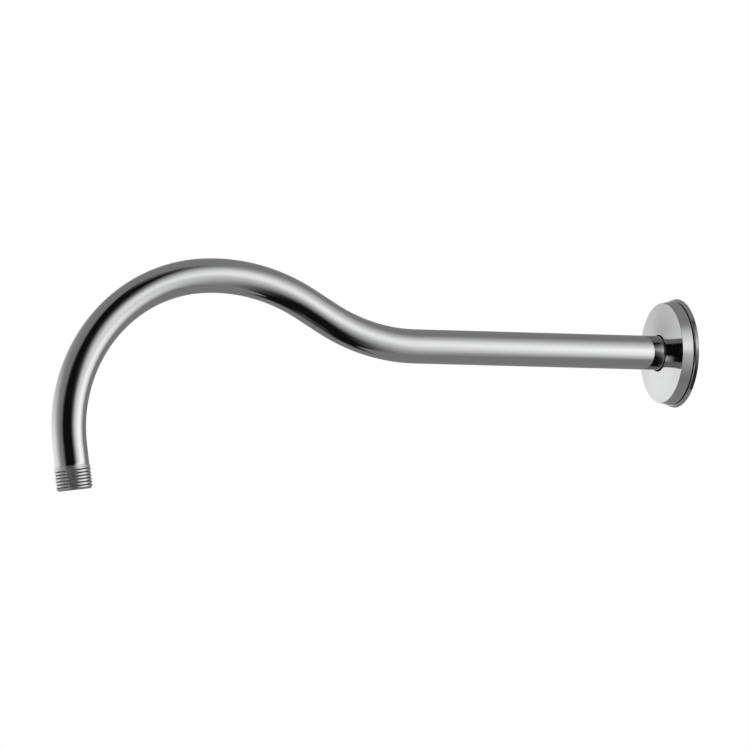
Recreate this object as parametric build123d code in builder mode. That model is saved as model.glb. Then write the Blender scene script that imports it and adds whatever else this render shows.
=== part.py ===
from build123d import *
import os

# Gooseneck shower arm: one bent and plated brass tube with a pipe thread at each end,
# and a round wall flange that slides and turns on the straight run, gripped by a rubber ring.
# The wall is the plane X = 0. The arm leaves it along +X, +Z is up, and the bends lie in the XZ plane.
# All sizes are in millimetres and degrees.

# Tube
tube_diameter = 20.0
tube_wall = 2.0

# Route of the tube's centre line, from the wall to the outlet
straight_run = 167.0
rise_radius = 110.0
rise_angle = 30.0
climb_length = 16.0
crest_radius = 110.0
crest_angle = 35.0
drop_radius = 88.0
drop_angle = 92.0
tail_length = 11.4

# Half-inch pipe threads, as blanks that stand proud of the tube: 20.955 across on the 20 tube
thread_stand = 0.4775
inlet_reach = 9.0
inlet_thread_length = 11.0
outlet_thread_length = 12.0
thread_run_out = 2.0
thread_chamfer = 1.2
bore_chamfer = 0.5

# Wall flange, with heights measured from the wall
flange_diameter = 64.0
rim_height = 2.3
rim_step = 1.35
rim_lean = 0.8
rim_front_round = 0.8
rim_back_chamfer = 0.2
seam_width = 0.8
seam_depth = 0.7
bevel_inset = 1.35
face_height = 9.3
face_dip = 0.29
hub_height = 11.8
hub_lip = 0.3
hub_clearance = 0.1
flange_wall = 1.5
boss_wall = 2.0
boss_gap = 2.5

# Rubber ring that grips the tube, and its groove in the flange's boss
ring_section = 2.4
ring_height = 5.8
ring_grip_gap = 0.03
groove_gap = 0.05
groove_play = 0.2

tube_radius = tube_diameter / 2
bore_radius = tube_radius - tube_wall
thread_radius = tube_radius + thread_stand
hub_radius = thread_radius + hub_clearance
ring_centre = tube_radius + ring_grip_gap + ring_section / 2
groove_radius = ring_centre + ring_section / 2 + groove_gap
groove_width = ring_section + 2 * groove_play


# The bent tube: a ring swept along straight runs and tangent arcs
with BuildPart() as arm_tube:
    plain_start = inlet_thread_length + thread_run_out - inlet_reach
    with BuildLine(Plane.XZ) as route:
        run = Line((plain_start, 0), (straight_run, 0))
        rise = JernArc(run @ 1, run % 1, rise_radius, rise_angle)
        climb = Line(rise @ 1, rise @ 1 + climb_length * (rise % 1))
        crest = JernArc(climb @ 1, climb % 1, crest_radius, -crest_angle)
        drop = JernArc(crest @ 1, crest % 1, drop_radius, -drop_angle)
        tail = Line(drop @ 1, drop @ 1 + tail_length * (drop % 1))
    with BuildSketch(Plane(origin=run @ 0, z_dir=run % 0)):
        Circle(tube_radius)
        Circle(bore_radius, mode=Mode.SUBTRACT)
    sweep(path=route.line)

    # Each end: a run-out cone, the thread's blank, and a chamfer inside and outside
    ends = (
        (run @ 0, -(run % 0), inlet_thread_length),
        (tail @ 1, tail % 1, outlet_thread_length),
    )
    for foot, outward, thread_length in ends:
        tip = thread_run_out + thread_length
        with BuildSketch(Plane(origin=foot, x_dir=outward, z_dir=(0, -1, 0))):
            with BuildLine():
                Polyline(
                    (0, bore_radius),
                    (0, tube_radius),
                    (thread_run_out, thread_radius),
                    (tip - thread_chamfer, thread_radius),
                    (tip, thread_radius - thread_chamfer),
                    (tip, bore_radius + bore_chamfer),
                    (tip - bore_chamfer, bore_radius),
                    close=True,
                )
            make_face()
        revolve(axis=Axis(foot, outward))
arm_tube.part.label = "arm_tube"


# The wall flange: a turned dish with a bead at the wall, a seam, a bevelled side and a face that rises to the tube
with BuildPart() as wall_flange:
    flange_radius = flange_diameter / 2
    bevel_foot = flange_radius - rim_step
    face_radius = bevel_foot - bevel_inset
    lip_radius = hub_radius + hub_lip
    seam_floor = bevel_foot - seam_depth
    seam_top = rim_height + seam_width
    boss_radius = groove_radius + boss_wall
    with BuildSketch(Plane.XZ):
        with BuildLine():
            edge = Polyline(
                (hub_height, hub_radius),
                (0, hub_radius),
                (0, flange_radius),
                (rim_height, flange_radius - rim_lean),
                (rim_height, seam_floor),
                (seam_top, seam_floor),
                (seam_top, bevel_foot),
                (face_height, face_radius),
            )
            face = SagittaArc(edge @ 1, (hub_height, lip_radius), -face_dip)
            Line(face @ 1, edge @ 0)
        make_face()
    revolve(axis=Axis.X)

    # The hollow back: it leaves a wall of even thickness, and a boss round the tube
    bevel_lean = bevel_inset / (face_height - seam_top)
    face_lean = (hub_height - face_height) / (face_radius - lip_radius)
    ceiling_height = face_height - flange_wall
    inner_edge = face_radius - flange_wall
    with BuildSketch(Plane.XZ):
        with BuildLine():
            Polyline(
                (0, hub_radius),
                (0, inner_edge + bevel_lean * ceiling_height),
                (ceiling_height, inner_edge),
                (ceiling_height + face_lean * (inner_edge - boss_radius), boss_radius),
                (boss_gap, boss_radius),
                (boss_gap, hub_radius),
                close=True,
            )
        make_face()
    revolve(axis=Axis.X, mode=Mode.SUBTRACT)

    # The rubber ring's groove in the boss
    with BuildSketch(Plane.XZ):
        with Locations((ring_height, (hub_radius + groove_radius) / 2)):
            Rectangle(groove_width, groove_radius - hub_radius)
    revolve(axis=Axis.X, mode=Mode.SUBTRACT)

    # The bead: its front edge is rounded, its back edge broken where it meets the wall
    rings = wall_flange.edges().filter_by(lambda edge: edge.is_closed).sort_by(SortBy.RADIUS)
    rim_front, rim_back = rings[-2:]
    fillet(rim_front, rim_front_round)
    chamfer(rim_back, rim_back_chamfer)
wall_flange.part.label = "wall_flange"


# The rubber ring, as it sits pressed against the tube
with BuildPart() as grip_ring:
    with BuildSketch(Plane.XZ):
        with Locations((ring_height, ring_centre)):
            Circle(ring_section / 2)
    revolve(axis=Axis.X)
grip_ring.part.label = "grip_ring"


os.makedirs("parts", exist_ok=True)
export_step(arm_tube.part, "parts/arm_tube.step")
export_step(wall_flange.part, "parts/wall_flange.step")
export_step(grip_ring.part, "parts/grip_ring.step")
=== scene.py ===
# %% [markdown]
# # A gooseneck shower arm
#
# The arm is a chromed brass tube that leaves the wall, climbs through a gentle S and drops in an arch to a
# pipe thread for the shower head. A round flange covers the hole in the wall. It slides and turns on the
# tube, and a rubber ring inside it keeps it where it is pushed.
#
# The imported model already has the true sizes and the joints. It is loaded first as a fixed frame, and each
# piece below is made in that frame, so nothing has to be fitted afterwards. The arm's sizes are written in
# millimetres, and its points are turned into the frame's metres as they are made.

# %% Load the frame
import math

import bmesh
import bpy
import numpy as np
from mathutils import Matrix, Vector


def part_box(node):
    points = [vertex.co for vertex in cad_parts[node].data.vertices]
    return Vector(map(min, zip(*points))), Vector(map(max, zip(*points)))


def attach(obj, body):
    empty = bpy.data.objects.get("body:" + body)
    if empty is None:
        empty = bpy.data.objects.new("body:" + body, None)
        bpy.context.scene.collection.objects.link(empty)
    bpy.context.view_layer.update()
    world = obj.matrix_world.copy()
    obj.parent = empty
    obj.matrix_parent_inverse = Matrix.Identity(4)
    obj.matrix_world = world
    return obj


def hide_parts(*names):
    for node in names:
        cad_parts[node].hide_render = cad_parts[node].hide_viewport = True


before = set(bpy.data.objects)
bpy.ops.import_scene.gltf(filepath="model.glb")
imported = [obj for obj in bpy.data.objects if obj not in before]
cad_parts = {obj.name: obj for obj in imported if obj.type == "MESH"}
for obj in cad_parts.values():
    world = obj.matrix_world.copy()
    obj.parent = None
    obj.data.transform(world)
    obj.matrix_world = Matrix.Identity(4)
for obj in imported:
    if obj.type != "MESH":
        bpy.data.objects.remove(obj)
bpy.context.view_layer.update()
MM = 0.001

# %% [markdown]
# ## The line that the tube follows
#
# A bender feeds a straight tube through its rollers: so far straight, then so many degrees round a former,
# and so on. The route is written the same way, as runs and bends. One could draw a curve object and give
# it a round bevel, but then the threads at the ends would need pieces of their own. Walking the route in
# code gives the centre and the heading at any distance, and rings of points can be set there as close as
# each stretch needs.

# %% The route
tube_radius = 10.0
inlet_reach = 9.0
straight_run = 167.0
rise_radius = 110.0
rise_angle = 30.0
climb_length = 16.0
crest_radius = 110.0
crest_angle = 35.0
drop_radius = 88.0
drop_angle = 92.0
tail_length = 11.4
run_out = 2.0
inlet_thread = 11.0
outlet_thread = 12.0
route = [
    ("run", inlet_reach + straight_run, 0.0),
    ("bend", rise_radius, rise_angle),
    ("run", climb_length, 0.0),
    ("bend", crest_radius, -crest_angle),
    ("bend", drop_radius, -drop_angle),
    ("run", tail_length + run_out + outlet_thread, 0.0),
]


def leg_length(kind, size, turn):
    """Length of one leg in millimetres. A bend's size is its radius, a run's is its length."""
    return size if kind == "run" else size * math.radians(abs(turn))


def tube_place(distance):
    """Centre and heading of the tube at a distance from its inlet tip. The bends lie in the XZ plane."""
    x, z, heading = -inlet_reach, 0.0, 0.0
    for kind, size, turn in route:
        part = min(distance, leg_length(kind, size, turn))
        if kind == "run":
            x += part * math.cos(heading)
            z += part * math.sin(heading)
        else:
            side = math.copysign(1.0, turn)
            turned = heading + side * part / size
            x += size * side * (math.sin(turned) - math.sin(heading))
            z -= size * side * (math.cos(turned) - math.cos(heading))
            heading = turned
        distance -= part
        if distance <= 0:
            break
    return x, z, heading


tube_length = sum(leg_length(*leg) for leg in route)
tip_x, tip_z, _ = tube_place(tube_length)
print(f"tube {tube_length:.1f} mm long, outlet tip at x {tip_x:.1f} z {tip_z:.1f}")

# %% [markdown]
# ## The pipe thread
#
# Both ends carry the half-inch pipe thread that shower fittings share: 14 turns to the inch, with flanks
# at 55 degrees. The die leaves the crests flat, and the roots are narrow and a little rounded. A bump map
# could only hint at the turns, and the outline would stay smooth, so they are real. The radius is worked
# out from the distance along the tube and the angle round it, which is all that a helix is. Where the die
# stops, the groove grows shallow over one turn and runs out.

# %% Shape of the thread
thread_radius = 20.955 / 2
thread_pitch = 25.4 / 14
crest_width = 0.44 * thread_pitch
root_rounding = 0.06 * thread_pitch
edge_rounding = 0.06 * thread_pitch
flank = math.radians(27.5)
flank_width = (thread_pitch - crest_width) / 2 - (edge_rounding + root_rounding) * math.cos(flank)
thread_depth = (edge_rounding + root_rounding) * (1 - math.sin(flank)) + flank_width / math.tan(flank)


def thread_fall(phase):
    """How far the surface lies below the crest, for a phase of 0 on the crest and 0.5 in the root."""
    from_crest = np.abs(phase - np.round(phase)) * thread_pitch
    from_root = thread_pitch / 2 - from_crest
    past_edge = from_crest - crest_width / 2
    edge = edge_rounding - np.sqrt(np.maximum(edge_rounding**2 - np.maximum(past_edge, 0) ** 2, 0))
    edge_end = edge_rounding * math.cos(flank)
    slope = edge_rounding * (1 - math.sin(flank)) + (past_edge - edge_end) / math.tan(flank)
    root = thread_depth - root_rounding + np.sqrt(np.maximum(root_rounding**2 - from_root**2, 0))
    in_root = from_root < root_rounding * math.cos(flank)
    return np.where(past_edge < edge_end, edge, np.where(in_root, root, slope))


print(f"thread {2 * thread_radius:.2f} mm across, pitch {thread_pitch:.3f}, depth {thread_depth:.3f}")

# %% Ends of the tube
thread_chamfer = 1.2
full_cut, no_cut = -0.9, 1.0


def smooth_step(low, high, value):
    """0 below low, 1 above high, and an even ease between them."""
    share = min(max((value - low) / (high - low), 0.0), 1.0)
    return share * share * (3 - 2 * share)


def nearer_thread(distance):
    """Distance from the tip of the nearer thread, and the length of that thread."""
    ends = ((distance, inlet_thread), (tube_length - distance, outlet_thread))
    return min(ends, key=lambda end: end[0] - end[1])


def groove_share(distance, angles):
    """Depth of the thread's groove for each angle, from 0 on a crest to 1 in the root."""
    from_tip, cut_length = nearer_thread(distance)
    cut = 1 - smooth_step(cut_length + full_cut, cut_length + no_cut, from_tip)
    return cut * thread_fall(distance / thread_pitch + angles / (2 * math.pi)) / thread_depth


def tube_outside(distance, angles):
    """Outer radius of the tube at one distance, for each angle round it."""
    from_tip, cut_length = nearer_thread(distance)
    if from_tip > cut_length + run_out:
        return np.full_like(angles, tube_radius)
    risen = min((cut_length + run_out - from_tip) / run_out, 1.0)
    blank = tube_radius + (thread_radius - tube_radius) * risen
    turned = blank - thread_depth * groove_share(distance, angles)
    return np.minimum(turned, thread_radius - thread_chamfer + from_tip)


tip_radius = tube_outside(0.0, np.zeros(1))[0]
print(f"outer radius {tip_radius:.2f} mm at a tip, {thread_radius:.2f} mm on a crest")

# %% [markdown]
# ## The bent tube
#
# The tube has an outside and a bore. A Solidify modifier could give it a wall, but then the bore would
# follow the thread. So the tube is one closed skin: along the outside from the inlet to the outlet, over
# the cut end, back through the bore and over the other end. Every ring has the same number of points, so
# the skin is a grid that closes on itself both ways, and it needs no caps. Rings lie close together in the
# threads and further apart in the long run. Chrome is a mirror and shows the least unevenness, so even the
# straight run gets a ring every few millimetres.

# %% Rings of the tube
around = 128
bore_radius = 8.0
bore_chamfer = 0.5
run_step, bend_step, bore_step, thread_step = 3.0, 1.6, 4.0, thread_pitch / 16
angles = np.linspace(0, 2 * math.pi, around, endpoint=False)


def steps(start, stop, longest):
    """Evenly spaced distances from start up to, and without, stop."""
    return np.linspace(start, stop, max(1, math.ceil((stop - start) / longest)), endpoint=False)


def tube_ring(distance, radius):
    """One ring of points round the tube's centre line, in metres."""
    x, z, heading = tube_place(distance)
    upward = np.cos(angles) * radius
    sideways = np.sin(angles) * radius
    return np.stack([x - math.sin(heading) * upward, sideways, z + math.cos(heading) * upward], axis=1) * MM


inlet_end = inlet_thread + run_out
outlet_start = tube_length - outlet_thread - run_out
first_bend = inlet_reach + straight_run
bore_end = tube_length - bore_chamfer
outer = np.concatenate([
    steps(0.0, inlet_end, thread_step),
    steps(inlet_end, first_bend, run_step),
    steps(first_bend, outlet_start, bend_step),
    steps(outlet_start, tube_length, thread_step),
    [tube_length],
])
inner = np.concatenate([steps(bore_chamfer, bore_end, bore_step), [bore_end]])[::-1]

PLATE, CUT, BORE = 0, 1, 2
rings = []
for distance in outer:
    surface = PLATE if inlet_end <= distance < outlet_start else CUT
    rings.append((distance, tube_outside(distance, angles), surface))
rings.append((tube_length, bore_radius + bore_chamfer, CUT))
rings += [(distance, bore_radius, BORE) for distance in inner]
rings.append((0.0, bore_radius + bore_chamfer, CUT))
print(len(rings), "rings of", around, "points")

# %% Skin of the tube


def skin(name, loops, surfaces, sharp_angle=35.0):
    """A closed skin over loops of points, the last joined to the first, with a surface number per loop."""
    count, size = len(loops), len(loops[0])
    points = np.concatenate(loops)
    faces = []
    for i in range(count):
        this, following = i * size, (i + 1) % count * size
        for k in range(size):
            after = (k + 1) % size
            faces.append((this + k, this + after, following + after, following + k))
    mesh = bpy.data.meshes.new(name)
    mesh.from_pydata(points.tolist(), [], faces)
    mesh.polygons.foreach_set("material_index", np.repeat(surfaces, size).astype(np.int32))
    work = bmesh.new()
    work.from_mesh(mesh)
    bmesh.ops.recalc_face_normals(work, faces=work.faces)
    work.to_mesh(mesh)
    work.free()
    mesh.shade_smooth()
    mesh.set_sharp_from_angle(angle=math.radians(sharp_angle))
    piece = bpy.data.objects.new(name, mesh)
    bpy.context.scene.collection.objects.link(piece)
    print(name, len(mesh.polygons), "faces")
    return piece


tube_loops = [tube_ring(distance, radius) for distance, radius, _ in rings]
bent_tube = skin("bent_tube", tube_loops, [surface for _, _, surface in rings])
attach(bent_tube, "arm")
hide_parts("arm_tube")

# %% [markdown]
# The grooves of the thread get painted shade and lose their mirror later. How deep each point of the skin
# lies in a groove is already known here, so it is stored on the points under a name that a material can ask
# for.

# %% Depth of the grooves
depths = np.zeros((len(rings), around), dtype=np.float32)
depths[:len(outer)] = [groove_share(distance, angles) for distance in outer]
bent_tube.data.attributes.new("groove", "FLOAT", "POINT").data.foreach_set("value", depths.ravel())
print("points deep in a groove", int((depths > 0.5).sum()))

# %% [markdown]
# ## The wall flange
#
# The flange is turned on a lathe: a bead at the wall, a seam above it, a leaning side, and a slightly
# hollow face that rises to a rounded lip at the tube. The tube's reflection in the face shows the hollow:
# it is narrower at the lip than at the edge. The back is hollow too, and a boss in it holds the rubber
# ring. A lathe outline spun round the tube's axis is the natural way to make all this. A Screw modifier
# could spin it, but in code each stretch of the outline keeps its own finish. Polished metal has no truly
# sharp edge, so most corners get a small rounding, and the long faces keep a close pair of points at each
# end, so that they shade flat.

# %% Outline of the flange
hub_radius = 10.5775
lip = (11.8, 10.8775)
lip_peak = 11.86
lip_rounding = 0.7
face_edge = (9.3, 29.3)
face_dip = 0.29
face_steps = 28
bead_height = 2.3
bead_rounding = 0.8
bead_foot, bead_widest, bead_top = 31.8, (0.2, 31.93), 31.2
seam_edge, seam_floor, seam_top = 30.6, 29.95, 3.1
side_foot = 30.65
groove_radius, groove_foot, groove_top = 12.48, 4.4, 7.2
boss_radius, boss_foot = 14.48, 2.5
hollow_top, hollow_corner, hollow_mouth = 9.6, (7.8, 27.8), 29.49


def dished_line(start, end, dip, count):
    """Points between two corners on an arc that sags below the straight line by the dip."""
    start, end = Vector(start), Vector(end)
    reach = end - start
    sag = Vector((reach.y, -reach.x)).normalized()
    if sag.x > 0:
        sag = -sag
    half = reach.length / 2
    radius = (half**2 + dip**2) / (2 * dip)
    points = []
    for i in range(1, count):
        along = (2 * i / count - 1) * half
        drop = math.sqrt(radius**2 - along**2) - radius + dip
        points.append(tuple((start + end) / 2 + reach.normalized() * along + sag * drop) + (0.0,))
    return points


# each corner is its height from the wall, its distance from the axis and its rounding
bead = [
    (0.0, bead_foot, 0.0),
    bead_widest + (0.0,),
    (bead_height, bead_top, bead_rounding),
]
seam = [
    (bead_height, seam_edge, 0.0),
    (bead_height, seam_floor, 0.1),
    (seam_top, seam_floor, 0.1),
]
face = [(seam_top, side_foot, 0.08), face_edge + (0.2,)]
face += dished_line(face_edge, lip, face_dip, face_steps)[:-1]
face += [(lip_peak, hub_radius, lip_rounding)]
back = [
    (groove_top, hub_radius, 0.1),
    (groove_top, groove_radius, 0.15),
    (groove_foot, groove_radius, 0.15),
    (groove_foot, hub_radius, 0.1),
    (boss_foot, hub_radius, 0.2),
    (boss_foot, boss_radius, 0.25),
    (hollow_top, boss_radius, 0.6),
    hollow_corner + (0.6,),
    (0.0, hollow_mouth, 0.15),
]
print(len(bead + seam + face), "corners in front,", len(back), "behind")

# %% Rounded outline
round_steps = 7
close_pair = 0.12
FRONT, BACK, SEAM = 0, 1, 2


def soften(before, corner, after, rounding):
    """Points that round one corner of the outline, or the corner itself where it isn't rounded."""
    if rounding == 0:
        return [corner]
    here = Vector(corner)
    to_before = (Vector(before) - here).normalized()
    to_after = (Vector(after) - here).normalized()
    half = to_before.angle(to_after) / 2
    pull = rounding / math.tan(half)
    centre = here + (to_before + to_after).normalized() * rounding / math.sin(half)
    first = (here + to_before * pull - centre).normalized()
    last = (here + to_after * pull - centre).normalized()
    return [tuple(centre + rounding * first.slerp(last, i / round_steps)) for i in range(round_steps + 1)]


# The seam's stretch gets its own surface number, and its finish is painted shade.
stretches = ((bead, FRONT), (seam, SEAM), (face, FRONT), (back, BACK))
corners = [(corner, surface) for stretch, surface in stretches for corner in stretch]
outline = []
for i, (corner, surface) in enumerate(corners):
    before, after = corners[i - 1][0], corners[(i + 1) % len(corners)][0]
    outline += [(point, surface) for point in soften(before[:2], corner[:2], after[:2], corner[2])]

lathe = []
for i, (point, surface) in enumerate(outline):
    here, following = Vector(point), Vector(outline[(i + 1) % len(outline)][0])
    gap = (following - here).length
    shares = (0.0, close_pair / gap, 1 - close_pair / gap) if gap > 6 * close_pair else (0.0,)
    lathe += [(here.lerp(following, share), surface) for share in shares]
print("outline of", len(lathe), "points")

# %% Spin the flange
spin_count = 192
turn = np.linspace(0, 2 * math.pi, spin_count, endpoint=False)


def flange_loop(point):
    """One point of the outline spun round the tube's axis, in metres."""
    heights = np.full(spin_count, point.x)
    return np.stack([heights, point.y * np.cos(turn), point.y * np.sin(turn)], axis=1) * MM


flange_loops = [flange_loop(point) for point, _ in lathe]
flange = skin("turned_flange", flange_loops, [surface for _, surface in lathe])
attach(flange, "flange")
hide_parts("wall_flange")

# %% [markdown]
# ## Finishes
#
# Chrome plate is a thin, hard mirror over brass. What makes it look real is that it isn't perfect: the
# polish is a little hazier in some places, and fine marks of the polishing mop lie in it. Several finishes
# share these marks, so they are made once as a node group and placed in each material with its own
# numbers.

# %% Polish marks


def node(tree, kind, **settings):
    """Adds a node and gives it its settings."""
    made = tree.nodes.new(kind)
    for key, value in settings.items():
        setattr(made, key, value)
    return made


def fill(made, **inputs):
    """Sets a node's inputs. An underscore in a key stands for a space in the socket's name."""
    for key, value in inputs.items():
        made.inputs[key.replace("_", " ")].default_value = value
    return made


def new_group(name, takes, gives):
    """A node group with named inputs and outputs. Gives its tree and the nodes at its two ends."""
    tree = bpy.data.node_groups.new(name, "ShaderNodeTree")
    for socket, kind in takes.items():
        tree.interface.new_socket(socket, in_out="INPUT", socket_type="NodeSocket" + kind)
    for socket, kind in gives.items():
        tree.interface.new_socket(socket, in_out="OUTPUT", socket_type="NodeSocket" + kind)
    return tree, node(tree, "NodeGroupInput"), node(tree, "NodeGroupOutput")


def polish_group():
    """Haze and mop marks of polished plate: a roughness, a tone and a faint height."""
    takes = dict(Place="Vector", Clear="Float", Hazy="Float", Bright="Color", Dim="Color")
    gives = dict(Roughness="Float", Tone="Color", Height="Float")
    tree, source, result = new_group("polish_marks", takes, gives)
    link = tree.links.new
    cloud = fill(node(tree, "ShaderNodeTexNoise"), Scale=28.0, Detail=4.0, Roughness=0.55)
    specks = fill(node(tree, "ShaderNodeTexNoise"), Scale=900.0, Detail=2.0)
    haze = fill(node(tree, "ShaderNodeMapRange"), From_Min=0.35, From_Max=0.72)
    tone = node(tree, "ShaderNodeMix", data_type="RGBA")
    for texture in (cloud, specks):
        link(source.outputs["Place"], texture.inputs["Vector"])
    link(cloud.outputs["Fac"], haze.inputs["Value"])
    link(source.outputs["Clear"], haze.inputs["To Min"])
    link(source.outputs["Hazy"], haze.inputs["To Max"])
    link(cloud.outputs["Fac"], tone.inputs["Factor"])
    link(source.outputs["Bright"], tone.inputs["A"])
    link(source.outputs["Dim"], tone.inputs["B"])
    link(haze.outputs["Result"], result.inputs["Roughness"])
    link(tone.outputs["Result"], result.inputs["Tone"])
    link(specks.outputs["Fac"], result.inputs["Height"])
    return tree


polish_marks = polish_group()
print("group", polish_marks.name, [socket.name for socket in polish_marks.interface.items_tree])

# %% [markdown]
# ### Turning marks
#
# A lathe tool leaves fine rings. Polishing takes them off the front of the flange, but they stay on its
# back. They are rings round the tube's axis, so their height is a sine of the distance from it. The place
# along the axis counts for a share too, so that walls along the axis get rings as well. A Wave texture has
# rings, but here some noise is added before the sine, so that no two rings are quite alike.

# %% Turning marks
axis_share = 0.3


def turning_group():
    """Rings that a lathe tool leaves round the X axis, a little uneven."""
    takes = {"Place": "Vector", "Radians per metre": "Float"}
    tree, source, result = new_group("turning_marks", takes, {"Height": "Float"})
    link = tree.links.new
    flat = node(tree, "ShaderNodeVectorMath", operation="MULTIPLY")
    flat.inputs[1].default_value = (axis_share, 1.0, 1.0)
    reach = node(tree, "ShaderNodeVectorMath", operation="LENGTH")
    count = node(tree, "ShaderNodeMath", operation="MULTIPLY")
    uneven = fill(node(tree, "ShaderNodeTexNoise"), Scale=160.0, Detail=2.0)
    shifted = node(tree, "ShaderNodeMath", operation="ADD")
    ring = node(tree, "ShaderNodeMath", operation="SINE")
    link(source.outputs["Place"], flat.inputs[0])
    link(source.outputs["Place"], uneven.inputs["Vector"])
    link(flat.outputs["Vector"], reach.inputs[0])
    link(reach.outputs["Value"], count.inputs[0])
    link(source.outputs["Radians per metre"], count.inputs[1])
    link(count.outputs["Value"], shifted.inputs[0])
    link(uneven.outputs["Fac"], shifted.inputs[1])
    link(shifted.outputs["Value"], ring.inputs[0])
    link(ring.outputs["Value"], result.inputs["Height"])
    return tree


turning_marks = turning_group()
print("group", turning_marks.name)

# %% [markdown]
# ### Plated and bare metal
#
# All the metal is one shader with different numbers: bright plate outside, hazier plate on the threads and
# on the flange's back, rougher metal in the flange's seam, where the mop can't reach, with painted shade
# making its colour very dark, and bare brass inside the bore. Chrome gives back a little over half of the
# light. That is why the tube's picture in the flange, which has been mirrored twice, is clearly darker than
# the tube. The colour and the roughness come from the polish marks, so no surface has one flat tone.

# %% Metals
mark_depth = 0.00002


def metal(name, bright, dim, clear, hazy, bump, turning=0.0):
    """Plated or bare metal with polish marks. Its relief is turning marks where a rate is given for them."""
    material = bpy.data.materials.new(name)
    material.use_nodes = True
    tree = material.node_tree
    tree.nodes.clear()
    link = tree.links.new
    place = node(tree, "ShaderNodeTexCoord")
    marks = node(tree, "ShaderNodeGroup", node_tree=polish_marks)
    fill(marks, Clear=clear, Hazy=hazy, Bright=bright + (1.0,), Dim=dim + (1.0,))
    relief = fill(node(tree, "ShaderNodeBump"), Strength=bump, Distance=mark_depth)
    shader = fill(node(tree, "ShaderNodeBsdfPrincipled"), Metallic=1.0)
    output = node(tree, "ShaderNodeOutputMaterial")
    link(place.outputs["Object"], marks.inputs["Place"])
    height = marks.outputs["Height"]
    if turning:
        lines = fill(node(tree, "ShaderNodeGroup", node_tree=turning_marks), Radians_per_metre=turning)
        link(place.outputs["Object"], lines.inputs["Place"])
        height = lines.outputs["Height"]
    link(height, relief.inputs["Height"])
    link(marks.outputs["Tone"], shader.inputs["Base Color"])
    link(marks.outputs["Roughness"], shader.inputs["Roughness"])
    link(relief.outputs["Normal"], shader.inputs["Normal"])
    link(shader.outputs["BSDF"], output.inputs["Surface"])
    return material


plate = dict(bright=(0.56, 0.56, 0.565), dim=(0.53, 0.535, 0.54), clear=0.035, hazy=0.07, bump=0.02)
hazy_plate = dict(bright=(0.60, 0.60, 0.60), dim=(0.54, 0.54, 0.54), clear=0.16, hazy=0.24, bump=0.25)
brass = dict(bright=(0.55, 0.41, 0.20), dim=(0.30, 0.22, 0.11), clear=0.35, hazy=0.60, bump=0.5)
turned_plate = dict(bright=(0.62, 0.62, 0.62), dim=(0.47, 0.47, 0.48), clear=0.22, hazy=0.38, bump=0.6)
# Very dark colour: painted shade in the narrow seam, on rougher metal.
seam_shade_metal = dict(bright=(0.12, 0.12, 0.12), dim=(0.07, 0.07, 0.07), clear=0.35, hazy=0.60, bump=0.5)

tube_plate = metal("tube_plate", **plate)
thread_plate = metal("thread_plate", **hazy_plate)
bore_brass = metal("bore_brass", **brass)
flange_plate = metal("flange_plate", **plate)
flange_back = metal("flange_back", **turned_plate, turning=9000.0)
# The seam's finish: painted shade darkens its colour.
seam_painted_shade = metal("seam_painted_shade", **seam_shade_metal)

tube_finishes = (tube_plate, thread_plate, bore_brass)
flange_finishes = (flange_plate, flange_back, seam_painted_shade)
for piece, finishes in ((bent_tube, tube_finishes), (flange, flange_finishes)):
    for finish in finishes:
        piece.data.materials.append(finish)
print("metals", [finish.name for finish in tube_finishes + flange_finishes])

# %% [markdown]
# ### Painted shade in the grooves
#
# The polishing mop brightens the crests of the thread and never reaches the grooves. The depth of each point
# mixes the plate's colour with dark grey, which is painted shade in the grooves, and takes the metal's
# mirror away at the same time. This draws the turns as light and dark stripes. The Pointiness of a surface
# could find the grooves, but their true depth is already stored on the points.

# %% Grooves of the thread
# Dark grey of painted shade, mixed in by how deep a point lies in a groove.
groove_shade_grey = (0.08, 0.08, 0.08, 1.0)
crest_metal, groove_metal = 0.87, 0.08

tree = thread_plate.node_tree
shader = tree.nodes["Principled BSDF"]
plate_tone = shader.inputs["Base Color"].links[0].from_socket
depth = node(tree, "ShaderNodeAttribute", attribute_name="groove")
groove_shaded = node(tree, "ShaderNodeMix", data_type="RGBA")
groove_shaded.inputs["B"].default_value = groove_shade_grey
mirror = fill(node(tree, "ShaderNodeMapRange"), To_Min=crest_metal, To_Max=groove_metal)
tree.links.new(depth.outputs["Fac"], groove_shaded.inputs["Factor"])
tree.links.new(plate_tone, groove_shaded.inputs["A"])
tree.links.new(groove_shaded.outputs["Result"], shader.inputs["Base Color"])
tree.links.new(depth.outputs["Fac"], mirror.inputs["Value"])
tree.links.new(mirror.outputs["Result"], shader.inputs["Metallic"])
print("grooves go from", crest_metal, "to", groove_metal, "metal")

# %% [markdown]
# ### The rubber ring
#
# The ring is a plain round section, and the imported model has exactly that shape, so its node stays and
# only gets a finish: black rubber with a fine moulded grain, and a greyer bloom in patches.

# %% Rubber
grain_depth = 0.00005


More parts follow.
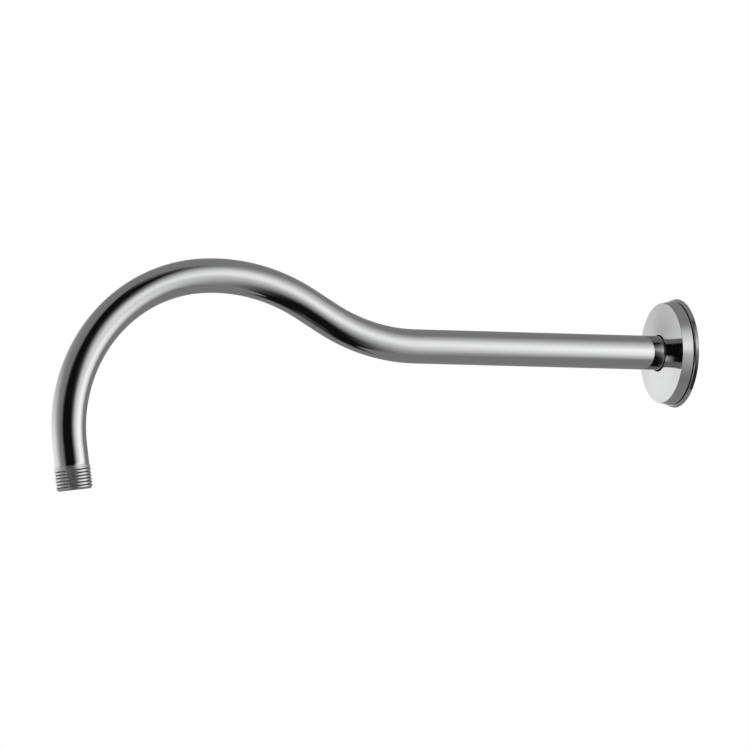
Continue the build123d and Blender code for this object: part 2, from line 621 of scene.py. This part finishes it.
def rubber(name):
    """Black rubber with a moulded grain and a greyer bloom."""
    material = bpy.data.materials.new(name)
    material.use_nodes = True
    tree = material.node_tree
    link = tree.links.new
    shader = tree.nodes["Principled BSDF"]
    place = node(tree, "ShaderNodeTexCoord")
    grain = fill(node(tree, "ShaderNodeTexNoise"), Scale=2500.0, Detail=3.0)
    bloom = fill(node(tree, "ShaderNodeTexNoise"), Scale=120.0, Detail=4.0)
    tone = node(tree, "ShaderNodeMix", data_type="RGBA")
    tone.inputs["A"].default_value = (0.018, 0.018, 0.019, 1.0)
    tone.inputs["B"].default_value = (0.055, 0.055, 0.056, 1.0)
    dull = fill(node(tree, "ShaderNodeMapRange"), To_Min=0.5, To_Max=0.8)
    relief = fill(node(tree, "ShaderNodeBump"), Strength=0.4, Distance=grain_depth)
    for texture in (grain, bloom):
        link(place.outputs["Object"], texture.inputs["Vector"])
    link(bloom.outputs["Fac"], tone.inputs["Factor"])
    link(bloom.outputs["Fac"], dull.inputs["Value"])
    link(grain.outputs["Fac"], relief.inputs["Height"])
    link(tone.outputs["Result"], shader.inputs["Base Color"])
    link(dull.outputs["Result"], shader.inputs["Roughness"])
    link(relief.outputs["Normal"], shader.inputs["Normal"])
    return material


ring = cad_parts["grip_ring"]
ring.data.materials.clear()
ring.data.materials.append(rubber("ring_rubber"))
ring_low, ring_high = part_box("grip_ring")
print("ring from", [round(value, 4) for value in ring_low], "to", [round(value, 4) for value in ring_high])

# %% [markdown]
# ## What the chrome reflects
#
# A mirror has no look of its own: it shows the studio. Product shots of chrome are taken in a grey tent.
# Cards and lamps could stand round the arm one by one, but their soft edges are easier to keep as paint on
# one tent. It is a ball about a metre in radius that only reflections see. The paint starts from the
# direction in which each point lies from the tent's middle, in degrees round and degrees up.

# %% Directions in the tent


def math_step(tree, operation, first, second=None):
    """One Math node. Its inputs may be numbers or other nodes' values."""
    made = node(tree, "ShaderNodeMath", operation=operation)
    for socket, value in zip(made.inputs, (first, second)):
        if isinstance(value, (int, float)):
            socket.default_value = value
        elif value is not None:
            tree.links.new(value, socket)
    return made.outputs["Value"]


tent_paint = bpy.data.materials.new("studio_tent")
tent_paint.use_nodes = True
tree = tent_paint.node_tree
tree.nodes.clear()
place = node(tree, "ShaderNodeTexCoord")
unit = node(tree, "ShaderNodeVectorMath", operation="NORMALIZE")
split = node(tree, "ShaderNodeSeparateXYZ")
tree.links.new(place.outputs["Object"], unit.inputs[0])
tree.links.new(unit.outputs["Vector"], split.inputs["Vector"])
azimuth = math_step(tree, "DEGREES", math_step(tree, "ARCTAN2", split.outputs["Y"], split.outputs["X"]))
elevation = math_step(tree, "DEGREES", math_step(tree, "ARCSINE", split.outputs["Z"]))
print("directions from", len(tree.nodes), "nodes")

# %% [markdown]
# ### Dark flags
#
# A photographer hangs black cloth, called a flag, where the metal should show dark. Here the room behind
# the camera and the table below are dark. A flag is a four-sided mask with soft edges that takes the
# tent's grey away. Even black cloth gives back a little light, so a small level is added after that.

# %% Dark flags
tent_grey = 0.30
cloth_glow = 0.0085
flags = {
    "dark room by the camera": dict(
        left=(21.5, 22), right=(107.5, 50), bottom=(-120, 4), top=(72, 24), lean=-0.107
    ),
    "dark table below": dict(left=(-115, 20), right=(118, 20), bottom=(-120, 4), top=(-70, 20)),
}


def soft_edge(tree, value, low, high):
    """A mask that eases from 0 at low to 1 at high. It falls instead where low is above high."""
    ease = node(tree, "ShaderNodeMapRange", interpolation_type="SMOOTHSTEP")
    fill(ease, From_Min=low, From_Max=high)
    tree.links.new(value, ease.inputs["Value"])
    return ease.outputs["Result"]


def soft_sheet(tree, azimuth, elevation, left, right, bottom, top, lean=0.0):
    """A four-sided mask. Each side has the middle and the width of its soft edge. The left one may lean."""
    leaning = math_step(tree, "MULTIPLY_ADD", elevation, -lean)
    tree.links.new(azimuth, leaning.node.inputs[2])
    mask = soft_edge(tree, leaning, left[0] - left[1] / 2, left[0] + left[1] / 2)
    others = ((azimuth, right, -1), (elevation, bottom, 1), (elevation, top, -1))
    for value, (middle, width), way in others:
        edge = soft_edge(tree, value, middle - way * width / 2, middle + way * width / 2)
        mask = math_step(tree, "MULTIPLY", mask, edge)
    return mask


glow = tent_grey
for flag in flags.values():
    open_share = math_step(tree, "SUBTRACT", 1, soft_sheet(tree, azimuth, elevation, **flag))
    glow = math_step(tree, "MULTIPLY", open_share, glow)
glow = math_step(tree, "ADD", glow, cloth_glow)
print("flags", list(flags))

# %% [markdown]
# ### Lamps
#
# Two soft lamps and a sheet stand to one side of the camera. They draw the long highlight along the tube.
# The larger lamp has a wing towards the camera that widens the highlight on the arch. A low strip of light
# lies opposite, and a pale sheet on the table keeps the tube from going black when it is seen from the
# wall's end. Each lamp is a mask times its level, added to the tent.

# %% Lamps
ovals = {
    "large lamp": (0.76, dict(middle=(110, 1), half=(18.5, 35), softness=0.98, lean=-0.14)),
    "its wing": (0.3, dict(middle=(89, 17), half=(13, 12), softness=0.7, lean=-0.7)),
    "lamp beside it": (0.95, dict(middle=(142, -4.5), half=(20, 23), softness=0.75)),
    "sheet over them": (0.62, dict(middle=(127, 27), half=(39.5, 23), softness=0.88)),
    "pale sheet on the table": (1.15, dict(middle=(31, -31), half=(13.5, 15), softness=0.5, lean=0.5)),
}
sheets = {
    "low strip opposite": (0.97, dict(left=(-120, 20), right=(-11.7, 43.6), bottom=(-13, 19), top=(5, 44))),
    "its glow above": (0.245, dict(left=(-100, 40), right=(-23, 30), bottom=(-8, 16), top=(27.5, 40))),
}


def soft_oval(tree, azimuth, elevation, middle, half, softness, lean=0.0):
    """An oval mask. Its edge is spread by the softness, as a share of its size, to both sides."""
    height = math_step(tree, "SUBTRACT", elevation, middle[1])
    leaning = math_step(tree, "SUBTRACT", azimuth, math_step(tree, "MULTIPLY", height, lean))
    across = math_step(tree, "DIVIDE", math_step(tree, "SUBTRACT", leaning, middle[0]), half[0])
    upward = math_step(tree, "DIVIDE", height, half[1])
    square = math_step(tree, "ADD", math_step(tree, "POWER", across, 2), math_step(tree, "POWER", upward, 2))
    return soft_edge(tree, math_step(tree, "SQRT", square), 1 + softness, 1 - softness)


masks = [(level, soft_oval(tree, azimuth, elevation, **shape)) for level, shape in ovals.values()]
masks += [(level, soft_sheet(tree, azimuth, elevation, **shape)) for level, shape in sheets.values()]
for level, mask in masks:
    glow = math_step(tree, "ADD", glow, math_step(tree, "MULTIPLY", mask, level))
print("lamps", list(ovals) + list(sheets))

# %% Tent
tent_radius = 1.1
tent_middle = (0.19, 0.0, -0.02)

light = node(tree, "ShaderNodeEmission")
output = node(tree, "ShaderNodeOutputMaterial")
tree.links.new(glow, light.inputs["Strength"])
tree.links.new(light.outputs["Emission"], output.inputs["Surface"])
bpy.ops.mesh.primitive_uv_sphere_add(segments=64, ring_count=32, radius=tent_radius, location=tent_middle)
tent = bpy.context.object
tent.name = "studio_tent"
tent.data.materials.append(tent_paint)
tent.visible_camera = False
tent.visible_diffuse = False
tent.visible_shadow = False
print("tent", tent_radius, "m in radius, paint of", len(tree.nodes), "nodes")

# %% [markdown]
# ## Floor, light and background
#
# The floor lies below the camera's view of the arm. The chrome sees the tent in its place, because the arm
# hangs on a wall and not over a white table. A camera below the floor looks through it, so that the arm
# can be seen from underneath too. The background is white. A backdrop could give that, but a white world
# does it for every view: its strength is 1 for the camera and for mirrors, and less for the light on dull
# surfaces. One soft sun adds the shadow on the pale floor.

# %% Floor
floor_depth = -0.33
floor_size = 60.0

bpy.ops.mesh.primitive_plane_add(size=floor_size, location=(0.0, 0.0, floor_depth))
floor = bpy.context.object
floor.name = "floor"
floor.visible_glossy = False
paint = bpy.data.materials.new("pale_floor")
paint.use_nodes = True
tree = paint.node_tree
matt = fill(tree.nodes["Principled BSDF"], Base_Color=(0.86, 0.86, 0.86, 1.0), Roughness=0.8)
path = node(tree, "ShaderNodeLightPath")
side = node(tree, "ShaderNodeNewGeometry")
from_below = math_step(tree, "MULTIPLY", path.outputs["Is Camera Ray"], side.outputs["Backfacing"])
clear = node(tree, "ShaderNodeBsdfTransparent")
window = node(tree, "ShaderNodeMixShader")
tree.links.new(from_below, window.inputs["Fac"])
tree.links.new(matt.outputs["BSDF"], window.inputs[1])
tree.links.new(clear.outputs["BSDF"], window.inputs[2])
tree.links.new(window.outputs["Shader"], tree.nodes["Material Output"].inputs["Surface"])
floor.data.materials.append(paint)
print("floor at", floor_depth, "m")

# %% White background
sky_strength = 0.6

world = bpy.data.worlds.new("white_studio")
bpy.context.scene.world = world
world.use_nodes = True
tree = world.node_tree
tree.nodes.clear()
path = node(tree, "ShaderNodeLightPath")
seen = math_step(tree, "MAXIMUM", path.outputs["Is Camera Ray"], path.outputs["Is Glossy Ray"])
seen = math_step(tree, "MAXIMUM", seen, path.outputs["Is Transmission Ray"])
strength = node(tree, "ShaderNodeMix", data_type="FLOAT")
strength.inputs["A"].default_value = sky_strength
strength.inputs["B"].default_value = 1.0
sky = fill(node(tree, "ShaderNodeBackground"), Color=(1.0, 1.0, 1.0, 1.0))
output = node(tree, "ShaderNodeOutputWorld")
tree.links.new(seen, strength.inputs["Factor"])
tree.links.new(strength.outputs["Result"], sky.inputs["Strength"])
tree.links.new(sky.outputs["Background"], output.inputs["Surface"])
bpy.context.scene.view_settings.view_transform = "Standard"
print("world lights dull surfaces with", sky_strength)

# %% Soft sun
sun_data = bpy.data.lights.new("soft_sun", "SUN")
sun_data.energy = 1.1
sun_data.angle = math.radians(25)
sun = bpy.data.objects.new("soft_sun", sun_data)
sun.rotation_euler = (math.radians(-25), math.radians(20), 0.0)
sun.visible_glossy = False
bpy.context.scene.collection.objects.link(sun)
print("sun of", round(sun_data.energy, 2), "over", round(math.degrees(sun_data.angle)), "degrees")

# %% [markdown]
# ## Camera
#
# The photograph is taken from far away with a long lens, from the arm's side, a little below it and turned
# a little towards its free end. A long lens keeps the tube's width nearly even along its length.

# %% Camera
picture_width = 750.0
focal_pixels = 6932.1
view_turn = math.radians(156.892)
view_rise = math.radians(-3.35)
view_distance = 4.0
view_target = Vector((0.1922, 0.0, -0.0171))

camera_data = bpy.data.cameras.new("camera")
camera_data.sensor_width = 36.0
camera_data.lens = camera_data.sensor_width * focal_pixels / picture_width
camera_data.clip_end = 200.0
camera = bpy.data.objects.new("camera", camera_data)
level = math.cos(view_rise)
backward = Vector((math.sin(view_turn) * level, -math.cos(view_turn) * level, math.sin(view_rise)))
camera.location = view_target + view_distance * backward
camera.rotation_euler = backward.to_track_quat("Z", "Y").to_euler()
bpy.context.scene.collection.objects.link(camera)
bpy.context.scene.camera = camera
print("camera at", [round(value, 4) for value in camera.location], "lens", round(camera_data.lens, 1))
